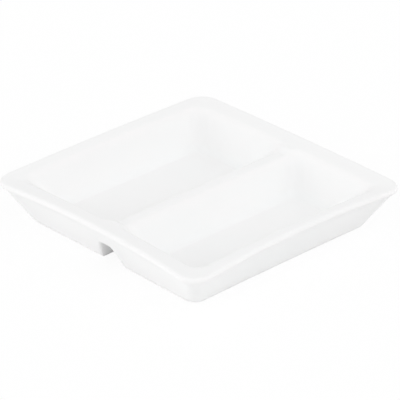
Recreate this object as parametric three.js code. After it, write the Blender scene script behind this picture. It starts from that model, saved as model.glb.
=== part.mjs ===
// Divided square sauce dish: a porcelain body with two wells, and the glaze fired over it.
// Units are millimetres and +Z is up. The dish stands on z = 0 and the divider runs along Y.
// Every face is a height above one shared grid, so the pieces have no undercut and meet exactly.

import * as THREE from 'three';

// Rim
const RIM_SIDE = 105;            // across the rim at the corners
const RIM_CORNER_RADIUS = 8;     // plan radius of the rim corners
const RIM_BOW = 1.8;             // how far each side draws in at its middle
const RIM_ARCH = 1.8;            // how far each side rises at its middle
const RIM_THICKNESS = 2.4;
const RIM_TOP_ROUND = 1.2;       // rounding of the rim's upper outer edge
const RIM_UNDER_ROUND = 1;       // rounding of the rim's lower outer edge
const RIM_OVERHANG = 1.8;        // how far the lip stands out past the outer wall
const LAND_ACROSS = 7.8;         // from a rim corner's outline in to the mouth of a well, along X
const LAND_ALONG = 9.6;          // the same along Y, at the ends of the divider
const LAND_DIP = 1.2;            // how far the land dips from the rim's edge to the mouths
const LAND_DIP_RUN = 8.5;        // width inside the rim's outline over which it dips evenly

// Body
const CORNER_HEIGHT = 16.1;      // base to the top of a rim corner
const FLOOR_THICKNESS = 3.3;
const OUTER_DRAFT_DEG = 30;      // slope of the outer walls away from the vertical
const OUTER_CORNER_RADIUS = 5;   // plan radius of the outer walls' corners

// Wells and divider
const WELL_DRAFT_DEG = 31;       // slope of the well walls away from the vertical
const WELL_CORNER_RADIUS = 6;    // plan radius of the wells' corners
const DIVIDER_X = 2.6;           // the divider stands a little off centre
const CREST_WIDTH = 6.2;         // width of the divider at its crest, before its edges are rounded
const CREST_DROP = 1;            // crest of the divider below the rim corners
const CREST_RISE_LENGTH = 4;     // length over which the crest climbs to the land at each end
const GROOVE_X = 1.7;            // middle of the open groove under the divider
const GROOVE_FOOT_WIDTH = 11.6;  // its width at the base
const GROOVE_HEIGHT = 8.5;       // base to its roof
const GROOVE_DRAFT_DEG = 17;     // slope of its sides away from the vertical

// Glaze
const GLAZE = 0.3;               // thickness of the glaze, all over except the two feet

// Blends between faces, as heights over which two faces run into each other
const FLOOR_BLEND = 3.4;
const LAND_BLEND = 3;
const BASE_BLEND = 2.4;
const LIP_BLEND = 1.6;
const GROOVE_BLEND = 3;

// Spans of the grid between one feature and the next
const FLOOR_SPANS_X = 2;
const FLOOR_SPANS_Y = 6;
const FLOOR_TO_BASE_SPANS = 3;
const GROOVE_SPANS = 4;
const CREST_SPANS = 2;
const ROUNDING_SHARES = [1, 0.4, 0.1, 0]; // places across the rim's rounding, from its start to the outline

// Finish
const BODY_COLOUR = 0xeeece8;
const BODY_ROUGHNESS = 0.7;
const GLAZE_COLOUR = 0xf5f5f3;
const GLAZE_ROUGHNESS = 0.5;

// Worked out from the sizes above
const WELL_DRAFT = THREE.MathUtils.degToRad(WELL_DRAFT_DEG);
const OUTER_DRAFT = THREE.MathUtils.degToRad(OUTER_DRAFT_DEG);
const GROOVE_DRAFT = THREE.MathUtils.degToRad(GROOVE_DRAFT_DEG);
const WELL_SLOPE = 1 / Math.tan(WELL_DRAFT);
const OUTER_SLOPE = 1 / Math.tan(OUTER_DRAFT);
const GROOVE_SLOPE = 1 / Math.tan(GROOVE_DRAFT);
const RIM_HALF = RIM_SIDE / 2;
const MOUTH_X = RIM_HALF - LAND_ACROSS;
const MOUTH_Y = RIM_HALF - LAND_ALONG;
const LIP_HALF = RIM_HALF - RIM_OVERHANG;
const CREST_HEIGHT = CORNER_HEIGHT - CREST_DROP;
const WALL_RUN = (CORNER_HEIGHT - LAND_DIP - FLOOR_THICKNESS) / WELL_SLOPE;
const FLOOR_X = MOUTH_X - WALL_RUN;
const FLOOR_Y = MOUTH_Y - WALL_RUN;
const BASE_HALF = LIP_HALF - (CORNER_HEIGHT - RIM_THICKNESS) / OUTER_SLOPE;
const DIVIDER_FOOT_HALF = CREST_WIDTH / 2 + (CREST_HEIGHT - FLOOR_THICKNESS) / WELL_SLOPE;
const GROOVE_FOOT_HALF = GROOVE_FOOT_WIDTH / 2;
const LIP_START = CORNER_HEIGHT - RIM_THICKNESS - LIP_BLEND / 2;

// Smooth lesser and greater of two heights.
function blendMin(a, b, k) {
  const h = Math.max(k - Math.abs(a - b), 0) / k;
  return Math.min(a, b) - h * h * k / 4;
}

function blendMax(a, b, k) {
  return -blendMin(-a, -b, k);
}

// How far a rectangle has to grow, with its corner radius kept, to reach a point u and v past its sides.
function growth(u, v, radius) {
  const apart = Math.abs(u - v);
  if (apart >= radius) return Math.max(u, v);
  return radius + (u + v - Math.sqrt(2 * radius * radius - apart * apart)) / 2;
}

// Distance in from the rim's outline.
function rimInset(x, y) {
  const qx = Math.abs(x) - RIM_HALF + RIM_CORNER_RADIUS;
  const qy = Math.abs(y) - RIM_HALF + RIM_CORNER_RADIUS;
  const outside = Math.hypot(Math.max(qx, 0), Math.max(qy, 0));
  return RIM_CORNER_RADIUS - outside - Math.min(Math.max(qx, qy), 0);
}

// How far out a point lies past the edge of the nearer floor, in plan.
function wellRun(x, y) {
  const v = Math.abs(y) - FLOOR_Y;
  const left = Math.max(-FLOOR_X - x, x - DIVIDER_X + DIVIDER_FOOT_HALF);
  const right = Math.max(DIVIDER_X + DIVIDER_FOOT_HALF - x, x - FLOOR_X);
  return Math.min(growth(left, v, WELL_CORNER_RADIUS), growth(right, v, WELL_CORNER_RADIUS));
}

// Height of the level that caps the walls: the arched rim, its dipping land and the crest between the wells.
function capHeight(x, y) {
  const rim = CORNER_HEIGHT + RIM_ARCH * (1 - (x * y / RIM_HALF ** 2) ** 2);
  const pastMouth = Math.max(Math.abs(x) - MOUTH_X, Math.abs(y) - MOUTH_Y);
  const land = rim - LAND_DIP * THREE.MathUtils.clamp(rimInset(x, y) / LAND_DIP_RUN, 0, 1);
  const climb = THREE.MathUtils.smoothstep(pastMouth, -CREST_RISE_LENGTH, 0);
  return THREE.MathUtils.lerp(CREST_HEIGHT, land, climb);
}

// Height lost to an edge rounding, at a distance in from the outline.
function edgeRounding(inset, radius) {
  const t = 1 - THREE.MathUtils.clamp(inset / radius, 0, 1);
  return radius * (1 - Math.sqrt(1 - t * t));
}

// Upper face, or the face that lies a given depth under it.
function upperFace(x, y, depth) {
  const wall = FLOOR_THICKNESS + wellRun(x, y) * WELL_SLOPE - depth / Math.sin(WELL_DRAFT);
  const well = blendMax(FLOOR_THICKNESS - depth, wall, FLOOR_BLEND);
  const face = blendMin(capHeight(x, y) - depth, well, LAND_BLEND);
  return face - edgeRounding(rimInset(x, y) - depth, RIM_TOP_ROUND - depth);
}

// Lower face, or the face that lies a given depth inside it.
function lowerFace(x, y, depth) {
  const outer = (growth(Math.abs(x), Math.abs(y), OUTER_CORNER_RADIUS) - BASE_HALF) * OUTER_SLOPE;
  const outerWall = outer + depth / Math.sin(OUTER_DRAFT);
  const groove = (GROOVE_FOOT_HALF - Math.abs(x - GROOVE_X)) * GROOVE_SLOPE;
  const grooveWall = groove + depth / Math.sin(GROOVE_DRAFT);
  const grooveFace = blendMin(GROOVE_HEIGHT + depth, grooveWall, GROOVE_BLEND);
  const sides = blendMax(blendMax(depth, outerWall, BASE_BLEND), grooveFace, BASE_BLEND);
  const face = blendMin(capHeight(x, y) - RIM_THICKNESS + depth, sides, LIP_BLEND);
  return face + edgeRounding(rimInset(x, y) - depth, RIM_UNDER_ROUND - depth);
}

// Evenly spaced lines from one place up to the next, without the last.
function spread(from, to, count) {
  return Array.from({ length: count }, (_, i) => THREE.MathUtils.lerp(from, to, i / count));
}

// Grid lines lie close together on the walls and the rim, and wide apart on the floors.
// Lines on the groove and the outer walls share their heights, so cell diagonals follow the groove's ends.
const FLOOR_FILLET = FLOOR_BLEND / WELL_SLOPE;
const floorEdgeX = FLOOR_X - FLOOR_FILLET;
const floorEdgeY = FLOOR_Y - FLOOR_FILLET;
const dividerEdge = DIVIDER_FOOT_HALF + FLOOR_FILLET;
const grooveHeights = [...spread(0, GROOVE_HEIGHT, GROOVE_SPANS), GROOVE_HEIGHT];
const outerWallLines = [...grooveHeights, LIP_START].map((z) => BASE_HALF + z / OUTER_SLOPE);
const rimLines = ROUNDING_SHARES.map((share) => RIM_HALF - share * RIM_TOP_ROUND);
const beyondBase = [...outerWallLines, ...rimLines];
const mirrored = (lines) => lines.map((line) => -line).reverse();
const outerLinesX = [floorEdgeX, ...spread(FLOOR_X, BASE_HALF, FLOOR_TO_BASE_SPANS), ...beyondBase];
const outerLinesY = [floorEdgeY, ...spread(FLOOR_Y, BASE_HALF, FLOOR_TO_BASE_SPANS), ...beyondBase];
const grooveSide = grooveHeights.map((z) => GROOVE_FOOT_HALF - z / GROOVE_SLOPE).reverse();
const grooveRoof = spread(0, grooveSide[0], CREST_SPANS);
const grooveHalf = [...grooveRoof, ...grooveSide];
const grooveLines = [...mirrored(grooveHalf.slice(1)), ...grooveHalf];
const linesX = [
  ...mirrored(outerLinesX),
  ...spread(-floorEdgeX, DIVIDER_X - dividerEdge, FLOOR_SPANS_X).slice(1),
  DIVIDER_X - dividerEdge,
  DIVIDER_X - DIVIDER_FOOT_HALF,
  ...grooveLines.map((line) => GROOVE_X + line),
  DIVIDER_X + DIVIDER_FOOT_HALF,
  ...spread(DIVIDER_X + dividerEdge, floorEdgeX, FLOOR_SPANS_X),
  ...outerLinesX,
];
const floorLinesY = spread(-floorEdgeY, floorEdgeY, FLOOR_SPANS_Y).slice(1);
const linesY = [...mirrored(outerLinesY), ...floorLinesY, ...outerLinesY];
const COLUMNS = linesX.length;
const ROWS = linesY.length;

// A foot is the part of the flat base inside these lines, which stays bare of glaze.
function onFoot(gx, gy) {
  const left = gx >= -floorEdgeX && gx <= DIVIDER_X - dividerEdge;
  const right = gx >= DIVIDER_X + dividerEdge && gx <= floorEdgeX;
  return (left || right) && Math.abs(gy) <= floorEdgeY;
}

// A grid line's place on a piece whose outline lies a given depth inside the rim.
function drawnIn(line, depth) {
  return line - Math.sign(line) * depth * THREE.MathUtils.smoothstep(Math.abs(line), BASE_HALF, RIM_HALF);
}

// The square grid's corner patches are turned into quarter discs, so the outline gets its corner radius.
function roundCorner(x, y, depth) {
  const start = RIM_HALF - RIM_CORNER_RADIUS;
  const radius = RIM_CORNER_RADIUS - depth;
  const a = Math.max((Math.abs(x) - start) / radius, 0);
  const b = Math.max((Math.abs(y) - start) / radius, 0);
  if (a === 0 || b === 0) return [x, y];
  const across = start + radius * a * Math.sqrt(1 - b * b / 2);
  const along = start + radius * b * Math.sqrt(1 - a * a / 2);
  return [Math.sign(x) * across, Math.sign(y) * along];
}

// How far a side is drawn in: most at the middle of the rim, nothing at the floors.
function sidePull(across, along, floorHalf) {
  const middle = 1 - (along / RIM_HALF) ** 2;
  const share = THREE.MathUtils.smoothstep(Math.abs(across), floorHalf, RIM_HALF);
  return Math.sign(across) * RIM_BOW * middle * share;
}

// A face as a list of points, row by row, with the height at the middle of each grid cell.
// depthAt gives how deep under the dish's own surface the face lies at each grid point.
function makeFace(height, depthAt) {
  const pointAt = (gx, gy) => {
    const depth = depthAt(gx, gy);
    const [x, y] = roundCorner(drawnIn(gx, depth), drawnIn(gy, depth), depth);
    return [x - sidePull(x, y, FLOOR_X), y - sidePull(y, x, FLOOR_Y), height(x, y, depth)];
  };
  const half = (lines) => lines.slice(1).map((line, i) => (line + lines[i]) / 2);
  return {
    points: linesY.flatMap((gy) => linesX.map((gx) => pointAt(gx, gy))),
    middles: half(linesY).map((gy) => half(linesX).map((gx) => pointAt(gx, gy)[2])),
  };
}

// Triangles of a face, seen from above; each cell is split on the diagonal that lies nearer to its middle.
function faceTriangles({ points, middles }, skipFeet) {
  const triangles = [];
  for (let j = 0; j + 1 < ROWS; j += 1) {
    for (let i = 0; i + 1 < COLUMNS; i += 1) {
      const footCell = onFoot(linesX[i], linesY[j]) && onFoot(linesX[i + 1], linesY[j + 1]);
      if (skipFeet && footCell) continue;
      const a = j * COLUMNS + i;
      const b = a + 1;
      const c = b + COLUMNS;
      const d = a + COLUMNS;
      const miss = (p, q) => Math.abs((points[p][2] + points[q][2]) / 2 - middles[j][i]);
      const firstCorner = (i === 0 && j === 0) || (i === COLUMNS - 2 && j === ROWS - 2);
      const secondCorner = (i === COLUMNS - 2 && j === 0) || (i === 0 && j === ROWS - 2);
      if (firstCorner || (miss(a, c) <= miss(b, d) && !secondCorner)) triangles.push(a, b, c, a, c, d);
      else triangles.push(a, b, d, b, c, d);
    }
  }
  return triangles;
}

// Grid indices round the outline, anticlockwise seen from above.
function outlineLoop() {
  const loop = [];
  for (let i = 0; i < COLUMNS - 1; i += 1) loop.push(i);
  for (let j = 0; j < ROWS - 1; j += 1) loop.push(j * COLUMNS + COLUMNS - 1);
  for (let i = COLUMNS - 1; i > 0; i -= 1) loop.push((ROWS - 1) * COLUMNS + i);
  for (let j = ROWS - 1; j > 0; j -= 1) loop.push(j * COLUMNS);
  return loop;
}

// The skin of a whole dish: upper face, lower face and the narrow upright band round the rim.
function skinTriangles(upper, lower, skipFeet) {
  const count = COLUMNS * ROWS;
  const under = faceTriangles(lower, skipFeet).map((p) => p + count).reverse();
  const loop = outlineLoop();
  const band = loop.flatMap((p, k) => {
    const q = loop[(k + 1) % loop.length];
    return [count + p, count + q, q, count + p, q, p];
  });
  return [...faceTriangles(upper, false), ...under, ...band];
}

function solidGeometry(faces, triangles) {
  const points = faces.flatMap((face) => face.points.flat());
  const geometry = new THREE.BufferGeometry();
  geometry.setAttribute('position', new THREE.Float32BufferAttribute(points, 3));
  geometry.setIndex(triangles);
  geometry.computeVertexNormals();
  return geometry;
}

// The glaze lies between the dish's outer skin and the body's skin, which meet along the edges of the feet.
function glazeGeometry(outer, inner) {
  const count = outer.length * COLUMNS * ROWS;
  const inside = skinTriangles(...inner, true).map((p) => p + count).reverse();
  return solidGeometry([...outer, ...inner], [...skinTriangles(...outer, true), ...inside]);
}

function piece(name, geometry, colour, roughness) {
  const material = new THREE.MeshStandardMaterial({ color: colour, roughness, metalness: 0 });
  const mesh = new THREE.Mesh(geometry, material);
  mesh.name = name;
  return mesh;
}

const outerSkin = [makeFace(upperFace, () => 0), makeFace(lowerFace, () => 0)];
const bodySkin = [
  makeFace(upperFace, () => GLAZE),
  makeFace(lowerFace, (gx, gy) => (onFoot(gx, gy) ? 0 : GLAZE)),
];

const dish = new THREE.Group();
dish.name = 'divided_sauce_dish';
const bodyGeometry = solidGeometry(bodySkin, skinTriangles(...bodySkin, false));
dish.add(piece('porcelain_body', bodyGeometry, BODY_COLOUR, BODY_ROUGHNESS));
dish.add(piece('glaze_coat', glazeGeometry(outerSkin, bodySkin), GLAZE_COLOUR, GLAZE_ROUGHNESS));

export default dish;
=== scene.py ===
# %% [markdown]
# # A divided sauce dish in glazed porcelain
# The dish is one square porcelain pressing with two wells, a divider between them and a wide rim.
# A white glaze covers it everywhere except on the two feet that it stood on in the kiln.
# We load the measured solids first, so that every surface made here lands on the same sizes and places.

# %% Load the measured solids
import math

import bpy
import numpy as np
from mathutils import Matrix, Vector


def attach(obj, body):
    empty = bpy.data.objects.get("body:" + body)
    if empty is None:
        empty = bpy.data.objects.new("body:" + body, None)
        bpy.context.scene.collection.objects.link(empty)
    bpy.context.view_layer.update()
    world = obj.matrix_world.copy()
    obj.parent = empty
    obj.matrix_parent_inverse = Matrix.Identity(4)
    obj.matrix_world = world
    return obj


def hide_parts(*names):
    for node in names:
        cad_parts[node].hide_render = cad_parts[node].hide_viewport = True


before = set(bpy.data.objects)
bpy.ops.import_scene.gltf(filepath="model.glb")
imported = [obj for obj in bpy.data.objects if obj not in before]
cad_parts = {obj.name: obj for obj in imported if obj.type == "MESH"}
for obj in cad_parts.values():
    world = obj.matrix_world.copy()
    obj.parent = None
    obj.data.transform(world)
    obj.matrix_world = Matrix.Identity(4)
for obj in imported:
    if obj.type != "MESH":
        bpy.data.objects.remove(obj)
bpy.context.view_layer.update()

# %% [markdown]
# ## The sizes that drive the dish
# A potter would give a few sizes: the side, the height, the slopes of the walls and the divider's place.
# All the other sizes follow from these, so a change to one of them keeps the dish whole.
# They are in millimetres, and only the finished meshes are turned into metres.

# %% Driving sizes in millimetres
MM = 0.001

RIM_SIDE = 105.0
RIM_CORNER_RADIUS = 8.0
RIM_BOW = 1.8
RIM_ARCH = 1.8
RIM_THICKNESS = 2.4
RIM_TOP_ROUND = 1.2
RIM_UNDER_ROUND = 1.0
RIM_OVERHANG = 1.8
LAND_ACROSS = 7.8
LAND_ALONG = 9.6
LAND_DIP = 1.2
LAND_DIP_RUN = 8.5

CORNER_HEIGHT = 16.1
FLOOR_THICKNESS = 3.3
OUTER_DRAFT = math.radians(30.0)
OUTER_CORNER_RADIUS = 5.0

WELL_DRAFT = math.radians(31.0)
WELL_CORNER_RADIUS = 6.0
DIVIDER_X = 2.6
CREST_WIDTH = 6.2
CREST_DROP = 1.0
CREST_RISE_LENGTH = 4.0
GROOVE_X = 1.7
GROOVE_FOOT_WIDTH = 11.6
GROOVE_HEIGHT = 8.5
GROOVE_DRAFT = math.radians(17.0)

GLAZE = 0.3

FLOOR_BLEND = 3.4
LAND_BLEND = 3.0
BASE_BLEND = 2.4
LIP_BLEND = 1.6
GROOVE_BLEND = 3.0

WELL_SLOPE = 1 / math.tan(WELL_DRAFT)
OUTER_SLOPE = 1 / math.tan(OUTER_DRAFT)
GROOVE_SLOPE = 1 / math.tan(GROOVE_DRAFT)
RIM_HALF = RIM_SIDE / 2
MOUTH_X = RIM_HALF - LAND_ACROSS
MOUTH_Y = RIM_HALF - LAND_ALONG
CREST_HEIGHT = CORNER_HEIGHT - CREST_DROP
WALL_RUN = (CORNER_HEIGHT - LAND_DIP - FLOOR_THICKNESS) / WELL_SLOPE
FLOOR_X = MOUTH_X - WALL_RUN
FLOOR_Y = MOUTH_Y - WALL_RUN
BASE_HALF = RIM_HALF - RIM_OVERHANG - (CORNER_HEIGHT - RIM_THICKNESS) / OUTER_SLOPE
DIVIDER_FOOT_HALF = CREST_WIDTH / 2 + (CREST_HEIGHT - FLOOR_THICKNESS) / WELL_SLOPE

print(f"floors reach {FLOOR_X:.2f} mm across and {FLOOR_Y:.2f} mm along")
print(f"the divider's foot is {2 * DIVIDER_FOOT_HALF:.2f} mm wide")

# %% [markdown]
# ## Faces as heights
# Seen from above, the dish has no undercut, and neither has it from below.
# So each face can be a height above the table: a function of x and y, worked out for a whole grid at once.
# Sculpting or bevelling a box would also do, but its slopes and radii would only be near the real ones.
# Where two faces meet, a soft lesser or greater of their heights gives the rounding that glaze leaves.

# %% Soft joins between faces
def soft_less(a, b, width):
    """The lesser of two heights; where they differ by less than width, a parabola runs one into the other.

    Gives the height, and a share that is 1 where the two are equal and 0 where no parabola is needed.
    """
    share = np.clip(width - np.abs(a - b), 0, None) / width
    return np.minimum(a, b) - share**2 * width / 4, share


def soft_more(a, b, width):
    """The greater of two heights, as soft_less of their negatives."""
    height, share = soft_less(-a, -b, width)
    return -height, share


def smooth_step(value, start, end):
    """0 before start and 1 after end; between, three times the square less twice the cube of the way."""
    way = np.clip((value - start) / (end - start), 0, 1)
    return way * way * (3 - 2 * way)


print("half way along a smooth step:", smooth_step(0.5, 0, 1))

# %% Outlines in plan
def growth(u, v, radius):
    """How far a rectangle must grow to reach a point u and v past its sides, its corner radius kept.

    Beside a side it is the greater of u and v. Near a corner it solves for the arc of that radius through
    the point: the radius, plus half of u and v together, less half the root of twice the radius squared
    less (u - v) squared.
    """
    apart = np.minimum(np.abs(u - v), radius)
    arc = radius + (u + v - np.sqrt(2 * radius**2 - apart**2)) / 2
    return np.where(np.abs(u - v) < radius, arc, np.maximum(u, v))


def rim_inset(x, y):
    """Distance in from the rim's rounded square outline."""
    qx = np.abs(x) - RIM_HALF + RIM_CORNER_RADIUS
    qy = np.abs(y) - RIM_HALF + RIM_CORNER_RADIUS
    past = np.hypot(np.maximum(qx, 0), np.maximum(qy, 0))
    return RIM_CORNER_RADIUS - past - np.minimum(np.maximum(qx, qy), 0)


def well_run(x, y):
    """How far out a point lies past the edge of the nearer floor, in plan: the lesser of two growths."""
    v = np.abs(y) - FLOOR_Y
    wide = np.maximum(-FLOOR_X - x, x - DIVIDER_X + DIVIDER_FOOT_HALF)
    narrow = np.maximum(DIVIDER_X + DIVIDER_FOOT_HALF - x, x - FLOOR_X)
    return np.minimum(growth(wide, v, WELL_CORNER_RADIUS), growth(narrow, v, WELL_CORNER_RADIUS))


def cap_height(x, y):
    """Height that caps the walls: the crest between the wells, climbing to the land at its two ends.

    The rim is lowest at its corners and rises by the arch towards the middle of each side. Its land dips
    evenly on the way in from the outline.
    """
    rim = CORNER_HEIGHT + RIM_ARCH * (1 - (x * y / RIM_HALF**2) ** 2)
    past_mouth = np.maximum(np.abs(x) - MOUTH_X, np.abs(y) - MOUTH_Y)
    land = rim - LAND_DIP * np.clip(rim_inset(x, y) / LAND_DIP_RUN, 0, 1)
    return CREST_HEIGHT + (land - CREST_HEIGHT) * smooth_step(past_mouth, -CREST_RISE_LENGTH, 0)


print(f"rim at a corner {cap_height(RIM_HALF, RIM_HALF):.2f} mm")
print(f"rim at the middle of a side {cap_height(RIM_HALF, 0.0):.2f} mm")

# %% [markdown]
# ## The upper and the lower face
# The upper face is the floors and the sloping well walls, capped by the crest and the rim.
# The lower face is the flat base, the outer walls and the groove under the divider, capped under the lip.
# The porcelain lies a glaze's thickness inside both, so each function takes a depth.
# Each also gives where the glaze runs thick or thin: it pools in hollows and thins over edges in the fire.

# %% Heights of the two faces
def edge_rounding(inset, radius):
    """Height lost to a quarter round of that radius, at a distance in from the outline."""
    way = 1 - np.clip(inset / radius, 0, 1)
    return radius * (1 - np.sqrt(1 - way**2))


def upper_face(x, y, depth):
    """The greater of floor and well wall, then the lesser of that and the cap, rounded at the outline."""
    wall = FLOOR_THICKNESS + well_run(x, y) * WELL_SLOPE - depth / math.sin(WELL_DRAFT)
    well, foot_share = soft_more(FLOOR_THICKNESS - depth, wall, FLOOR_BLEND)
    height, edge_share = soft_less(cap_height(x, y) - depth, well, LAND_BLEND)
    inset = rim_inset(x, y) - depth
    outline_share = 1 - np.clip(inset / RIM_TOP_ROUND, 0, 1)
    return height - edge_rounding(inset, RIM_TOP_ROUND - depth), foot_share - edge_share - outline_share


def lower_face(x, y, depth):
    """The greatest of base, outer wall and groove, then the lesser of that and the lip's underside.

    The groove is the lesser of its side and its roof.
    """
    wall = (growth(np.abs(x), np.abs(y), OUTER_CORNER_RADIUS) - BASE_HALF) * OUTER_SLOPE
    wall = wall + depth / math.sin(OUTER_DRAFT)
    groove = (GROOVE_FOOT_WIDTH / 2 - np.abs(x - GROOVE_X)) * GROOVE_SLOPE + depth / math.sin(GROOVE_DRAFT)
    groove, roof_share = soft_less(GROOVE_HEIGHT + depth, groove, GROOVE_BLEND)
    side, base_share = soft_more(depth, wall, BASE_BLEND)
    side, groove_share = soft_more(side, groove, BASE_BLEND)
    height, lip_share = soft_less(cap_height(x, y) - RIM_THICKNESS + depth, side, LIP_BLEND)
    inset = rim_inset(x, y) - depth
    outline_share = 1 - np.clip(inset / RIM_UNDER_ROUND, 0, 1)
    thick = np.maximum(lip_share, roof_share) - np.maximum(base_share, groove_share) - outline_share
    return height + edge_rounding(inset, RIM_UNDER_ROUND - depth), thick


print(f"floor at {upper_face(-FLOOR_X / 2, 0.0, 0.0)[0]:.2f} mm")
print(f"crest at {upper_face(DIVIDER_X, 0.0, 0.0)[0]:.2f} mm")

# %% [markdown]
# ## One grid for every face
# The grid's lines lie close together on the walls, the crest and the rim, and wide apart on the floors.
# Two things then shape the grid in plan. Its square corners are pressed into quarter circles, so that its
# border is the rim's outline. And each side is drawn in at its middle, as a square dish draws in when fired.

# %% Grid lines
FLOOR_FILLET = FLOOR_BLEND / WELL_SLOPE
FLOOR_EDGE_X = FLOOR_X - FLOOR_FILLET
FLOOR_EDGE_Y = FLOOR_Y - FLOOR_FILLET
DIVIDER_EDGE = DIVIDER_FOOT_HALF + FLOOR_FILLET
GLAZE_ROLL = 0.6
ROLL_STEP = GLAZE_ROLL / 4
FLOOR_STEP = 3.0
WALL_STEP = 0.42
LAND_STEP = 0.6
ROUND_STEPS = 9


def lines(start, end, step):
    """Evenly spaced values from start up to, but without, end, no further apart than step."""
    count = math.ceil((end - start) / step)
    return start + (end - start) * np.arange(count) / count


def outward_lines(floor_edge, mouth):
    """Lines from a floor's edge to the outline, closing up over the outline's rounding as a sine does."""
    land_start = mouth + RIM_BOW
    round_start = RIM_HALF - RIM_TOP_ROUND
    rounding = round_start + RIM_TOP_ROUND * np.sin(np.linspace(0, math.pi / 2, ROUND_STEPS))
    roll = lines(floor_edge, floor_edge + GLAZE_ROLL, ROLL_STEP)
    walls = lines(floor_edge + GLAZE_ROLL, land_start, WALL_STEP)
    return np.concatenate([roll, walls, lines(land_start, round_start, LAND_STEP), rounding])


outward_x = outward_lines(FLOOR_EDGE_X, MOUTH_X)
outward_y = outward_lines(FLOOR_EDGE_Y, MOUTH_Y)
roll_in = DIVIDER_EDGE - lines(0, GLAZE_ROLL, ROLL_STEP)[::-1]
divider_half = np.concatenate([lines(0, DIVIDER_EDGE - GLAZE_ROLL, WALL_STEP), roll_in])
divider_lines = DIVIDER_X + np.concatenate([-divider_half[:0:-1], divider_half])
wide_floor = lines(-FLOOR_EDGE_X, divider_lines[0], FLOOR_STEP)[1:]
narrow_floor = lines(divider_lines[-1], FLOOR_EDGE_X, FLOOR_STEP)[1:]
floor_along = lines(-FLOOR_EDGE_Y, FLOOR_EDGE_Y, FLOOR_STEP)[1:]
lines_x = np.concatenate([-outward_x[::-1], wide_floor, divider_lines, narrow_floor, outward_x])
lines_y = np.concatenate([-outward_y[::-1], floor_along, outward_y])
grid_x, grid_y = np.meshgrid(lines_x, lines_y)

print(f"grid of {len(lines_x)} by {len(lines_y)} lines")

# %% Plan of the grid
ROUNDING = 1e-9


def on_foot(x, y):
    """True on the two bare feet: the flat base inside the lines where the floors begin to turn up."""
    beside = np.abs(x - DIVIDER_X) > DIVIDER_EDGE - ROUNDING
    inside = (np.abs(x) < FLOOR_EDGE_X + ROUNDING) & (np.abs(y) < FLOOR_EDGE_Y + ROUNDING)
    return beside & inside


def drawn_in(line, depth):
    """A grid line's place on a piece whose outline lies a depth inside the rim's."""
    return line - np.sign(line) * depth * smooth_step(np.abs(line), BASE_HALF, RIM_HALF)


def round_corners(x, y, depth):
    """Presses each square corner patch into a quarter disc.

    One way is scaled by the root of 1 less half the square of the other, both as shares of the radius.
    """
    start = RIM_HALF - RIM_CORNER_RADIUS
    radius = RIM_CORNER_RADIUS - depth
    a = np.maximum((np.abs(x) - start) / radius, 0)
    b = np.maximum((np.abs(y) - start) / radius, 0)
    in_corner = (a > 0) & (b > 0)
    across = np.sign(x) * (start + radius * a * np.sqrt(1 - b**2 / 2))
    along = np.sign(y) * (start + radius * b * np.sqrt(1 - a**2 / 2))
    return np.where(in_corner, across, x), np.where(in_corner, along, y)


def side_pull(across, along, floor_reach):
    """How far a side is drawn in: the bow, a parabola to the corners and a smooth step to the floors."""
    middle = 1 - (along / RIM_HALF) ** 2
    return np.sign(across) * RIM_BOW * middle * smooth_step(np.abs(across), floor_reach, RIM_HALF)


def skin(face, depth):
    """A face's points in millimetres, one row of the grid after another, and how thick glaze runs there."""
    x, y = round_corners(drawn_in(grid_x, depth), drawn_in(grid_y, depth), depth)
    height, thick = face(x, y, depth)
    points = np.stack([x - side_pull(x, y, FLOOR_X), y - side_pull(y, x, FLOOR_Y), height], axis=-1)
    return points.reshape(-1, 3), thick.reshape(-1)


bare = on_foot(grid_x, grid_y)
outer_top, top_thick = skin(upper_face, np.zeros_like(grid_x))
outer_bottom, bottom_thick = skin(lower_face, np.zeros_like(grid_x))
body_top, _ = skin(upper_face, np.full_like(grid_x, GLAZE))
body_bottom, _ = skin(lower_face, np.where(bare, 0.0, GLAZE))

print(f"bare share of the grid {bare.mean():.2f}, outline {np.ptp(outer_top[:, 0]):.2f} mm across")

# %% [markdown]
# ## From faces to closed meshes
# A grid of points becomes a sheet of four-sided faces. An upper sheet, a lower sheet turned over, and a
# narrow band between their borders close into one skin. The porcelain is one such skin. The glaze is an
# outer skin with the porcelain's skin inside it, turned inside out. They are sewn together round each foot.

# %% Faces of a sheet, a skin and a piece
ROWS, COLUMNS = grid_x.shape
SHEET = ROWS * COLUMNS
index = np.arange(SHEET).reshape(ROWS, COLUMNS)


def sheet_faces(keep):
    """Four-sided faces of one grid, seen from above, for the cells that are kept."""
    corners = np.stack([index[:-1, :-1], index[:-1, 1:], index[1:, 1:], index[1:, :-1]], axis=-1)
    return corners[keep]


def skin_faces(keep_below):
    """An upper sheet, a lower sheet turned over and the band that joins their borders."""
    every_cell = np.ones((ROWS - 1, COLUMNS - 1), bool)
    border = np.concatenate([index[0, :-1], index[:-1, -1], index[-1, :0:-1], index[:0:-1, 0]])
    following = np.roll(border, -1)
    band = np.stack([border + SHEET, following + SHEET, following, border], axis=-1)
    return np.concatenate([sheet_faces(every_cell), sheet_faces(keep_below)[:, ::-1] + SHEET, band])


def make_piece(name, points, faces):
    """Puts points in millimetres and four-sided faces into a smooth mesh in metres, and rides it."""
    mesh = bpy.data.meshes.new(name)
    mesh.vertices.add(len(points))
    mesh.vertices.foreach_set("co", (points * MM).astype(np.float32).ravel())
    mesh.loops.add(faces.size)
    mesh.loops.foreach_set("vertex_index", faces.astype(np.int32).ravel())
    mesh.polygons.add(len(faces))
    mesh.polygons.foreach_set("loop_start", np.arange(0, faces.size, 4, dtype=np.int32))
    mesh.polygons.foreach_set("use_smooth", np.ones(len(faces), bool))
    mesh.update(calc_edges=True)
    mesh.validate()
    piece = bpy.data.objects.new(name, mesh)
    bpy.context.scene.collection.objects.link(piece)
    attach(piece, "root")
    print(f"{name}: {len(points)} points, {2 * len(faces)} triangles")
    return piece


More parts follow.
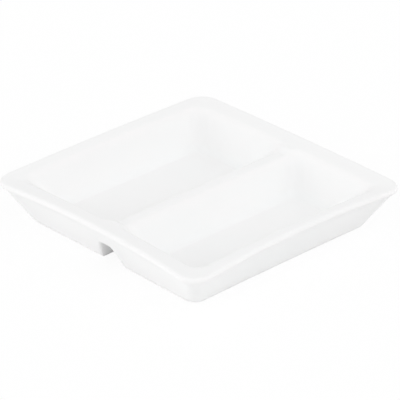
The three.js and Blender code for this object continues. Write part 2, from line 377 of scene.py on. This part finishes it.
foot_cells = bare[:-1, :-1] & bare[1:, 1:]
whole_base = np.ones_like(foot_cells)

# %% [markdown]
# ## The porcelain
# The body is white porcelain, pressed in a mould and fired hard. The glaze hides it except on the feet.
# It could be left out, since so little of it shows, but a dish turned over shows its feet first.

# %% Porcelain piece
body_points = np.concatenate([body_top, body_bottom])
porcelain = make_piece("porcelain_body_pressing", body_points, skin_faces(whole_base))
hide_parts("porcelain_body")

# %% [markdown]
# ## The glaze
# The glaze is a closed shell three tenths of a millimetre thick, with two windows for the feet.
# At each window its two skins share their border points, so the shell closes there.
# Its outer skin rolls up from the table within 0.6 mm of a window, as a melted edge does.
# A value on each point keeps where the glaze pooled or thinned, for the material to read.

# %% Glaze piece
def roll_lift(x, y):
    """Height of the glaze's underside beside a foot: a quarter round of half the glaze over the roll."""
    from_divider = DIVIDER_EDGE - np.abs(x - DIVIDER_X)
    from_floor = np.maximum(np.abs(x) - FLOOR_EDGE_X, np.abs(y) - FLOOR_EDGE_Y)
    way = np.clip(np.maximum(from_divider, from_floor) / GLAZE_ROLL, 0, 1)
    return GLAZE / 2 * np.sqrt(way * (2 - way))


rolled_bottom = outer_bottom.copy()
flat_lift = roll_lift(grid_x, grid_y).ravel()
rolled_bottom[:, 2] = np.maximum(outer_bottom[:, 2], flat_lift)

glaze_points = np.concatenate([outer_top, rolled_bottom, body_top, body_bottom])
window = ~foot_cells
outer_faces = skin_faces(window)
inner_faces = skin_faces(window)[:, ::-1] + 2 * SHEET
shared = np.arange(len(glaze_points))
window_edge = bare.ravel()
shared[SHEET:2 * SHEET][window_edge] += 2 * SHEET
glaze_faces = shared[np.concatenate([outer_faces, inner_faces])]
used, packed_faces = np.unique(glaze_faces, return_inverse=True)
glaze = make_piece("glaze_coat_shell", glaze_points[used], packed_faces.reshape(-1, 4))
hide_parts("glaze_coat")

pooling = np.concatenate([top_thick, bottom_thick, top_thick, bottom_thick])[used]
attribute = glaze.data.attributes.new("pooling", "FLOAT", "POINT")
attribute.data.foreach_set("value", np.clip(pooling, -1, 1).astype(np.float32))
print(f"glaze runs from {pooling.min():.2f} (thin) to {pooling.max():.2f} (pooled)")

# %% [markdown]
# ## Finishes
# A finish is a small network of nodes around one shader. One function adds a node with settings and links.
# Colours are written as the hex values that a paint chart would give, and turned to linear light once.

# %% Colour and node helpers
def linear(hex_colour):
    """An sRGB hex colour as linear red, green, blue and full alpha."""
    share = np.array([int(hex_colour[i:i + 2], 16) for i in (0, 2, 4)]) / 255
    light = np.where(share <= 0.04045, share / 12.92, ((share + 0.055) / 1.055) ** 2.4)
    return (*light.tolist(), 1.0)


def add_node(tree, kind, inputs=None, links=None, **settings):
    """Adds a node, sets its properties and sockets, and links sockets to other nodes' outputs."""
    node = tree.nodes.new(kind)
    for name, value in settings.items():
        setattr(node, name, value)
    for socket, value in (inputs or {}).items():
        node.inputs[socket].default_value = value
    for socket, output in (links or {}).items():
        tree.links.new(output, node.inputs[socket])
    return node


def new_finish(name):
    """An empty node material, and the tree to fill."""
    material = bpy.data.materials.new(name)
    material.use_nodes = True
    material.node_tree.nodes.clear()
    return material, material.node_tree


def per_metre(size_mm):
    """A texture's scale, in features a metre, from the size of one feature in millimetres."""
    return 1 / (size_mm * MM)


print("a glaze white in linear light:", [round(value, 3) for value in linear("F6F6F6")])

# %% [markdown]
# ## White glaze
# Porcelain glaze is a glass about as dense as window glass, melted over a white body. This one is
# satin-matt: fine crystals in it spread its gloss, so the eye gets a clean white with a soft sheen and no
# mirror image. It is a touch cooler where the glass pooled, in the foot of a well, and a touch warmer where
# it ran thin over an edge. Long, shallow ripples from the melt vary the sheen a little.

# %% White porcelain glaze
THIN_GLAZE = "F8F7F7"
POOLED_GLAZE = "F5F6F6"
GLAZE_IOR = 1.5
SATIN_ROUGHNESS = (0.48, 0.56)
RIPPLE_MM = 9.0
RIPPLE_HEIGHT_MM = 0.012
RIPPLE_DETAIL = 1.0
CLOUD_MM = 30.0
CLOUD_DETAIL = 2.0
CLOUD_OFFSET = -0.1
POOLING_WEIGHT = 0.5
TINT_RANGE = (-0.6, 0.8)


def white_glaze():
    """Satin glass over white: tint from the pooling value and a faint cloud, sheen from cloud and ripple.

    The tint's place is the pooling value times its weight, plus the cloud's square and an offset.
    """
    material, tree = new_finish("white porcelain glaze")
    place = add_node(tree, "ShaderNodeTexCoord")
    pooled = add_node(tree, "ShaderNodeAttribute", attribute_name="pooling")
    cloud = add_node(tree, "ShaderNodeTexNoise", {"Scale": per_metre(CLOUD_MM), "Detail": CLOUD_DETAIL},
                     {"Vector": place.outputs["Object"]})
    amount = add_node(tree, "ShaderNodeMath", {2: CLOUD_OFFSET},
                      {0: cloud.outputs["Fac"], 1: cloud.outputs["Fac"]}, operation="MULTIPLY_ADD")
    mixed = add_node(tree, "ShaderNodeMath", {1: POOLING_WEIGHT},
                     {0: pooled.outputs["Fac"], 2: amount.outputs["Value"]}, operation="MULTIPLY_ADD")
    share = add_node(tree, "ShaderNodeMapRange", {"From Min": TINT_RANGE[0], "From Max": TINT_RANGE[1]},
                     {"Value": mixed.outputs["Value"]})
    tint = add_node(tree, "ShaderNodeValToRGB", links={"Fac": share.outputs["Result"]})
    tint.color_ramp.elements[0].color = linear(THIN_GLAZE)
    tint.color_ramp.elements[1].color = linear(POOLED_GLAZE)
    ripple = add_node(tree, "ShaderNodeTexNoise", {"Scale": per_metre(RIPPLE_MM), "Detail": RIPPLE_DETAIL},
                      {"Vector": place.outputs["Object"]})
    satin = add_node(tree, "ShaderNodeMapRange",
                     {"To Min": SATIN_ROUGHNESS[0], "To Max": SATIN_ROUGHNESS[1]},
                     {"Value": cloud.outputs["Fac"]})
    bump = add_node(tree, "ShaderNodeBump", {"Distance": RIPPLE_HEIGHT_MM * MM},
                    {"Height": ripple.outputs["Fac"]})
    shader = add_node(tree, "ShaderNodeBsdfPrincipled", {"IOR": GLAZE_IOR},
                      {"Base Color": tint.outputs["Color"], "Roughness": satin.outputs["Result"],
                       "Normal": bump.outputs["Normal"]})
    add_node(tree, "ShaderNodeOutputMaterial", links={"Surface": shader.outputs["BSDF"]})
    return material


glaze.data.materials.append(white_glaze())
print("glaze finish:", glaze.data.materials[0].name)

# %% [markdown]
# ## Bare porcelain
# Where no glaze lies, fired porcelain is a matt, slightly warm white, like fine paper to the touch.
# Kiln grit leaves a fine tooth on the feet, and sliding on tables greys the high spots a little.
# Real grit is finer than the grain here, which is drawn as coarse as it needs to be to show.

# %% Bare fired porcelain
RUBBED_FOOT = "DEDBD5"
CLEAN_FOOT = "ECE9E2"
RUB_RANGE = (0.35, 0.6)
RUB_MM = 7.0
RUB_DETAIL = 4.0
RUB_BREAK_UP = 0.65
GRIT_MM = 0.4
GRIT_DETAIL = 3.0
GRIT_HEIGHT_MM = 0.05
GRIT_STRENGTH = 0.6
BARE_ROUGHNESS = 0.75


def bare_porcelain():
    """Matt warm white: fine grit as bump, and rubbed grey patches as colour."""
    material, tree = new_finish("bare fired porcelain")
    place = add_node(tree, "ShaderNodeTexCoord")
    grit = add_node(tree, "ShaderNodeTexNoise", {"Scale": per_metre(GRIT_MM), "Detail": GRIT_DETAIL},
                    {"Vector": place.outputs["Object"]})
    rub = add_node(tree, "ShaderNodeTexNoise",
                   {"Scale": per_metre(RUB_MM), "Detail": RUB_DETAIL, "Roughness": RUB_BREAK_UP},
                   {"Vector": place.outputs["Object"]})
    tint = add_node(tree, "ShaderNodeValToRGB", links={"Fac": rub.outputs["Fac"]})
    for end, position, colour in zip(tint.color_ramp.elements, RUB_RANGE, (RUBBED_FOOT, CLEAN_FOOT)):
        end.position = position
        end.color = linear(colour)
    bump = add_node(tree, "ShaderNodeBump", {"Distance": GRIT_HEIGHT_MM * MM, "Strength": GRIT_STRENGTH},
                    {"Height": grit.outputs["Fac"]})
    shader = add_node(tree, "ShaderNodeBsdfPrincipled", {"IOR": GLAZE_IOR, "Roughness": BARE_ROUGHNESS},
                      {"Base Color": tint.outputs["Color"], "Normal": bump.outputs["Normal"]})
    add_node(tree, "ShaderNodeOutputMaterial", links={"Surface": shader.outputs["BSDF"]})
    return material


porcelain.data.materials.append(bare_porcelain())
print("body finish:", porcelain.data.materials[0].name)

# %% [markdown]
# ## The studio
# The dish stands on an opal white sheet that is faintly lit from below, in a white room.
# To the camera, and in reflections, sheet and room are plain white. To the light that falls on the dish
# they are what they are: a pale sheet with a faint glow, and a soft room.
# A part of the sheet's own shading is kept for the camera, so the dish still has its faint shadow.

# %% Floor and room
FLOOR_SIZE = 6.0
SHEET_WHITE = "FAFAFA"
PLAIN_WHITE = "FFFFFF"
FLOOR_SHADOW_SHARE = 0.08
TABLE_GLOW = 0.03
ROOM_LIGHT = 0.21


def seen_share(tree):
    """1 for camera, glossy and transmission rays, and 0 for the rays that carry soft light."""
    path = add_node(tree, "ShaderNodeLightPath")
    either = add_node(tree, "ShaderNodeMath", None,
                      {0: path.outputs["Is Camera Ray"], 1: path.outputs["Is Glossy Ray"]},
                      operation="MAXIMUM")
    return add_node(tree, "ShaderNodeMath", None,
                    {0: either.outputs["Value"], 1: path.outputs["Is Transmission Ray"]},
                    operation="MAXIMUM")


def white_table():
    """A matt white sheet with a faint glow, mixed towards plain white light for the rays that see it."""
    material, tree = new_finish("opal white table sheet")
    sheet = add_node(tree, "ShaderNodeBsdfDiffuse", {"Color": linear(SHEET_WHITE)})
    glow = add_node(tree, "ShaderNodeEmission", {"Strength": TABLE_GLOW})
    lit_sheet = add_node(tree, "ShaderNodeAddShader", None,
                         {0: sheet.outputs["BSDF"], 1: glow.outputs["Emission"]})
    white = add_node(tree, "ShaderNodeEmission", {"Strength": 1.0})
    seen = seen_share(tree)
    share = add_node(tree, "ShaderNodeMath", {1: 1 - FLOOR_SHADOW_SHARE}, {0: seen.outputs["Value"]},
                     operation="MULTIPLY")
    surface = add_node(tree, "ShaderNodeMixShader", None,
                       {0: share.outputs["Value"], 1: lit_sheet.outputs["Shader"],
                        2: white.outputs["Emission"]})
    add_node(tree, "ShaderNodeOutputMaterial", links={"Surface": surface.outputs["Shader"]})
    return material


floor_mesh = bpy.data.meshes.new("table")
half = FLOOR_SIZE / 2
floor_corners = [(-half, -half, 0), (half, -half, 0), (half, half, 0), (-half, half, 0)]
floor_mesh.from_pydata(floor_corners, [], [(0, 1, 2, 3)])
floor = bpy.data.objects.new("table", floor_mesh)
floor.data.materials.append(white_table())
bpy.context.scene.collection.objects.link(floor)
print(f"sheet {FLOOR_SIZE} m across, finish: {floor.data.materials[0].name}")

# %% [markdown]
# ## Room light
# The dish is lit as in a white tent: soft light from all round, without a lamp that shows as a bright spot.
# The tent glows most where its panels are: on both sides of the camera, far to the right, low on the left,
# low behind the dish and, faintly, overhead. Towards the camera it is darker, which sets the two nearer
# walls apart.
# Area lamps would also do. A panel here is a wide glow in the room's own light instead, so no lamp has to be
# placed, and none shows as a bright edge in the glaze. Each has an azimuth, an elevation and a strength.

# %% Tent panels
PANEL_FALL_OFF = 4.0
PANELS = {
    "left of the camera": (1, 30, 0.91),
    "right of the camera": (91, 38, 0.54),
    "far right": (136, 40, 1.26),
    "low on the left": (316, 5, 1.48),
    "low behind": (226, 5, 0.57),
    "overhead": (46, 90, 0.17),
}


def direction(azimuth, elevation):
    """A unit vector from two angles in degrees; azimuth turns from -Y towards +X."""
    a, e = math.radians(azimuth), math.radians(elevation)
    return math.sin(a) * math.cos(e), -math.cos(a) * math.cos(e), math.sin(e)


def tent_light(tree):
    """The room's light plus each panel's: the cosine to its middle, to a power, times its strength."""
    place = add_node(tree, "ShaderNodeTexCoord")
    light = None
    for azimuth, elevation, strength in PANELS.values():
        towards = add_node(tree, "ShaderNodeVectorMath", {1: direction(azimuth, elevation)},
                           {0: place.outputs["Generated"]}, operation="DOT_PRODUCT")
        facing = add_node(tree, "ShaderNodeMath", {1: 0.0}, {0: towards.outputs["Value"]},
                          operation="MAXIMUM")
        glow = add_node(tree, "ShaderNodeMath", {1: PANEL_FALL_OFF}, {0: facing.outputs["Value"]},
                        operation="POWER")
        before = {2: light.outputs["Value"]} if light else {}
        light = add_node(tree, "ShaderNodeMath", {1: strength, 2: ROOM_LIGHT},
                         {0: glow.outputs["Value"], **before}, operation="MULTIPLY_ADD")
    return light


room = bpy.data.worlds.new("white tent")
room.use_nodes = True
room.node_tree.nodes.clear()
light = tent_light(room.node_tree)
soft = add_node(room.node_tree, "ShaderNodeBackground", {"Color": linear(PLAIN_WHITE)},
                {"Strength": light.outputs["Value"]})
plain = add_node(room.node_tree, "ShaderNodeBackground", {"Color": linear(PLAIN_WHITE), "Strength": 1.0})
seen = seen_share(room.node_tree)
both = add_node(room.node_tree, "ShaderNodeMixShader", None,
                {0: seen.outputs["Value"], 1: soft.outputs["Background"], 2: plain.outputs["Background"]})
add_node(room.node_tree, "ShaderNodeOutputWorld", links={"Surface": both.outputs["Shader"]})
bpy.context.scene.world = room
print(f"{len(PANELS)} panels over a room light of {ROOM_LIGHT}")

# %% [markdown]
# ## The camera
# A long lens looks over the corner where the two nearer sides meet, a good way above the table.
# The dish fills the frame from side to side, and so long a lens hardly lets its sides draw together.

# %% Camera
FRAME_PIXELS = 400
SENSOR_MM = 36.0
FOCAL_PIXELS = 2926.0
CAMERA_AZIMUTH = 46.13
CAMERA_ELEVATION = 27.45
CAMERA_ROLL = math.radians(0.35)
CAMERA_DISTANCE = 1.039
RIM_CENTRE = Vector((0, 0, CORNER_HEIGHT * MM))
RIM_CENTRE_PIXEL = (198.5, 182.6)


def camera_turn():
    """Columns are the camera's right, up and back, turned by its roll."""
    back = Vector(direction(CAMERA_AZIMUTH, CAMERA_ELEVATION))
    right = Vector(direction(CAMERA_AZIMUTH + 90, 0))
    up = back.cross(right)
    turned_right = right * math.cos(CAMERA_ROLL) + up * math.sin(CAMERA_ROLL)
    turned_up = up * math.cos(CAMERA_ROLL) - right * math.sin(CAMERA_ROLL)
    return Matrix((turned_right, turned_up, back)).transposed()


lens = bpy.data.cameras.new("long_lens")
lens.sensor_width = SENSOR_MM
lens.lens = FOCAL_PIXELS / FRAME_PIXELS * SENSOR_MM
lens.shift_x = (FRAME_PIXELS / 2 - RIM_CENTRE_PIXEL[0]) / FRAME_PIXELS
lens.shift_y = (RIM_CENTRE_PIXEL[1] - FRAME_PIXELS / 2) / FRAME_PIXELS
camera = bpy.data.objects.new("camera", lens)
turn = camera_turn()
camera.matrix_world = Matrix.Translation(RIM_CENTRE + turn.col[2] * CAMERA_DISTANCE) @ turn.to_4x4()
bpy.context.scene.collection.objects.link(camera)
bpy.context.scene.camera = camera
bpy.context.scene.view_settings.view_transform = "Standard"
print(f"lens {lens.lens:.0f} mm at {CAMERA_DISTANCE:.2f} m")
